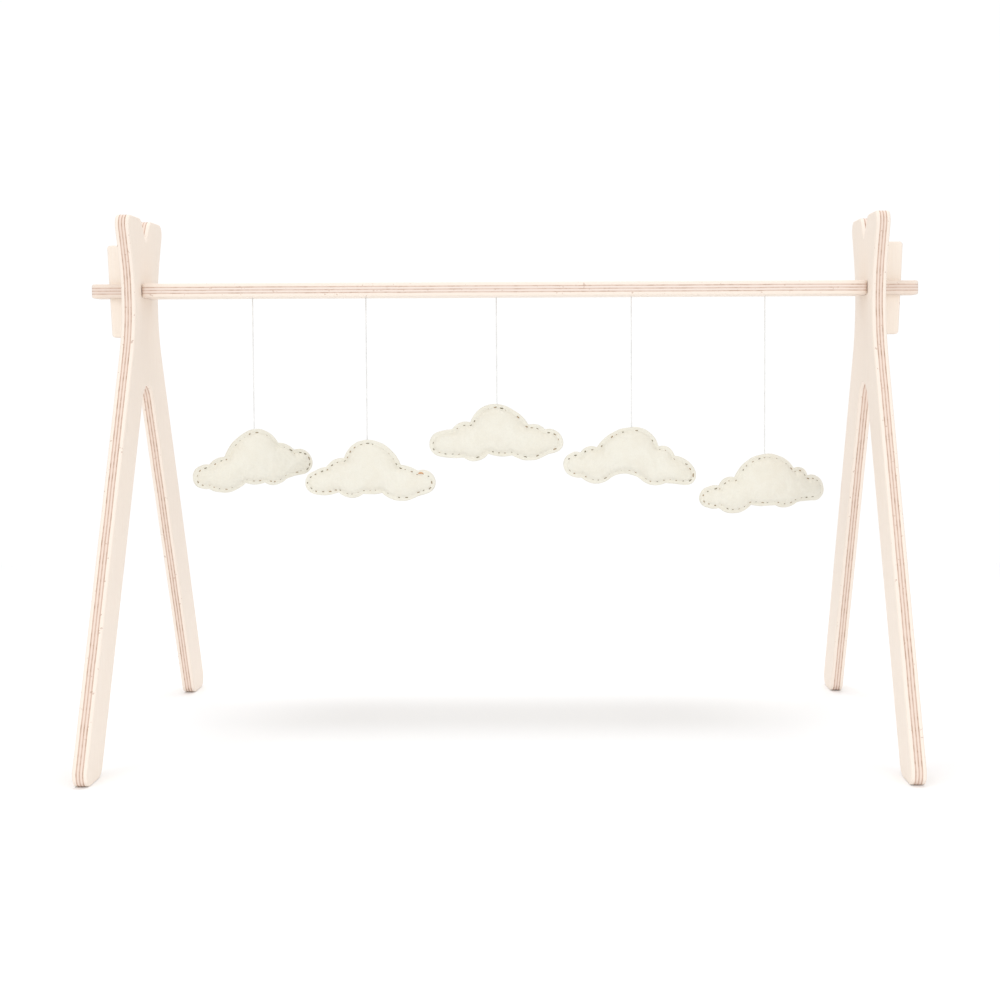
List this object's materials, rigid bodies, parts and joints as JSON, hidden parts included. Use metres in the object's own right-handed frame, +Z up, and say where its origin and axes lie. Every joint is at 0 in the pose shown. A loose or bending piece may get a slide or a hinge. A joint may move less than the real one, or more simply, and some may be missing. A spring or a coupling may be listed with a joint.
{
  "type": "activity play gym",
  "caption": "Freestanding baby play gym: tipi-shaped plywood end frames joined by a wedged crossbar, with stuffed felt clouds hanging on cords.",
  "frame": {"origin": "on the floor, in the middle of the four feet", "axes": "+X along the crossbar, +Z up, -Y towards the front"},
  "size_m": [0.896, 0.564, 0.5615],
  "materials": {
    "frame_plywood": "satin, clear-lacquered birch plywood with rounded edges",
    "bar_plywood": "satin, clear-lacquered birch plywood with rounded edges",
    "wedge_plywood": "satin, clear-lacquered birch plywood",
    "cloud_felt": "matt wool felt",
    "cloud_stuffing": "loose fibre filling",
    "stitching_thread": "matt sewing thread",
    "hanging_cord": "fine matt cord"
  },
  "bodies": {
    "gym_frame": {"left_end_frame": "frame_plywood", "right_end_frame": "frame_plywood", "crossbar": "bar_plywood", "cord_1_top_knot": "hanging_cord", "cord_2_top_knot": "hanging_cord", "cord_3_top_knot": "hanging_cord", "cord_4_top_knot": "hanging_cord", "cord_5_top_knot": "hanging_cord"},
    "left_wedge": {"left_wedge": "wedge_plywood"},
    "right_wedge": {"right_wedge": "wedge_plywood"},
    "cord_1": {"cord_1": "hanging_cord"},
    "cloud_1": {"cloud_1_front_felt": "cloud_felt", "cloud_1_back_felt": "cloud_felt", "cloud_1_stuffing": "cloud_stuffing", "cloud_1_stitching": "stitching_thread", "cloud_1_anchor_knot": "hanging_cord"},
    "cord_2": {"cord_2": "hanging_cord"},
    "cloud_2": {"cloud_2_front_felt": "cloud_felt", "cloud_2_back_felt": "cloud_felt", "cloud_2_stuffing": "cloud_stuffing", "cloud_2_stitching": "stitching_thread", "cloud_2_anchor_knot": "hanging_cord"},
    "cord_3": {"cord_3": "hanging_cord"},
    "cloud_3": {"cloud_3_front_felt": "cloud_felt", "cloud_3_back_felt": "cloud_felt", "cloud_3_stuffing": "cloud_stuffing", "cloud_3_stitching": "stitching_thread", "cloud_3_anchor_knot": "hanging_cord"},
    "cord_4": {"cord_4": "hanging_cord"},
    "cloud_4": {"cloud_4_front_felt": "cloud_felt", "cloud_4_back_felt": "cloud_felt", "cloud_4_stuffing": "cloud_stuffing", "cloud_4_stitching": "stitching_thread", "cloud_4_anchor_knot": "hanging_cord"},
    "cord_5": {"cord_5": "hanging_cord"},
    "cloud_5": {"cloud_5_front_felt": "cloud_felt", "cloud_5_back_felt": "cloud_felt", "cloud_5_stuffing": "cloud_stuffing", "cloud_5_stitching": "stitching_thread", "cloud_5_anchor_knot": "hanging_cord"}
  },
  "joints": [
    {"name": "left_wedge_lift", "type": "slide", "parent": "gym_frame", "child": "left_wedge", "axis": [0, 0, 1], "range_m": [0, 0.075]},
    {"name": "right_wedge_lift", "type": "slide", "parent": "gym_frame", "child": "right_wedge", "axis": [0, 0, 1], "range_m": [0, 0.075]},
    {"name": "cloud_1_swing", "type": "hinge", "parent": "gym_frame", "child": "cord_1", "pos_m": [-0.2754, 0, 0.476], "axis": [1, 0, 0], "range_deg": [-40, 40]},
    {"name": "cloud_1_spin", "type": "hinge", "parent": "cord_1", "child": "cloud_1", "pos_m": [-0.2754, 0, 0.326], "axis": [0, 0, 1], "range_deg": [-10, 140]},
    {"name": "cloud_2_swing", "type": "hinge", "parent": "gym_frame", "child": "cord_2", "pos_m": [-0.1515, 0, 0.476], "axis": [1, 0, 0], "range_deg": [-40, 40]},
    {"name": "cloud_2_spin", "type": "hinge", "parent": "cord_2", "child": "cloud_2", "pos_m": [-0.1515, 0, 0.326], "axis": [0, 0, 1], "range_deg": [-180, 180]},
    {"name": "cloud_3_swing", "type": "hinge", "parent": "gym_frame", "child": "cord_3", "pos_m": [-0.009, 0, 0.476], "axis": [1, 0, 0], "range_deg": [-40, 40]},
    {"name": "cloud_3_spin", "type": "hinge", "parent": "cord_3", "child": "cloud_3", "pos_m": [-0.009, 0, 0.326], "axis": [0, 0, 1], "range_deg": [-180, 180]},
    {"name": "cloud_4_swing", "type": "hinge", "parent": "gym_frame", "child": "cord_4", "pos_m": [0.1383, 0, 0.476], "axis": [1, 0, 0], "range_deg": [-40, 40]},
    {"name": "cloud_4_spin", "type": "hinge", "parent": "cord_4", "child": "cloud_4", "pos_m": [0.1383, 0, 0.326], "axis": [0, 0, 1], "range_deg": [-180, 180]},
    {"name": "cloud_5_swing", "type": "hinge", "parent": "gym_frame", "child": "cord_5", "pos_m": [0.2838, 0, 0.476], "axis": [1, 0, 0], "range_deg": [-40, 40]},
    {"name": "cloud_5_spin", "type": "hinge", "parent": "cord_5", "child": "cloud_5", "pos_m": [0.2838, 0, 0.326], "axis": [0, 0, 1], "range_deg": [-180, 180]}
  ]
}
